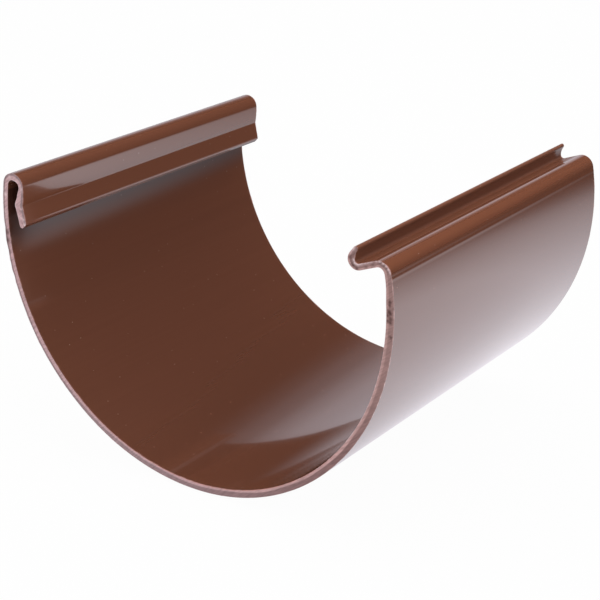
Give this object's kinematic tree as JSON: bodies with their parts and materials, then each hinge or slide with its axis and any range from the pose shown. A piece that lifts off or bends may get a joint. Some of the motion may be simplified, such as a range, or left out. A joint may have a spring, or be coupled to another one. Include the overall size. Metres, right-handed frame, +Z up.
{
  "type": "gutter union",
  "caption": "Half-round gutter union: a sawn length of extruded PVC trough with a hook for the gutter's bead on one edge and a shelf with a curled lip on the other.",
  "frame": {"origin": "under the trough's lowest line, half way along the extrusion, on the surface that the union rests on", "axes": "+X across the trough from the hook to the shelf, +Y along the extrusion, +Z up out of the open trough"},
  "size_m": [0.1296, 0.106, 0.0818],
  "materials": {
    "brown_pvc": "smooth glossy brown uPVC as it leaves the die, with rough, paler saw-cut ends"
  },
  "bodies": {
    "root": {"gutter_union": "brown_pvc"}
  },
  "joints": []
}
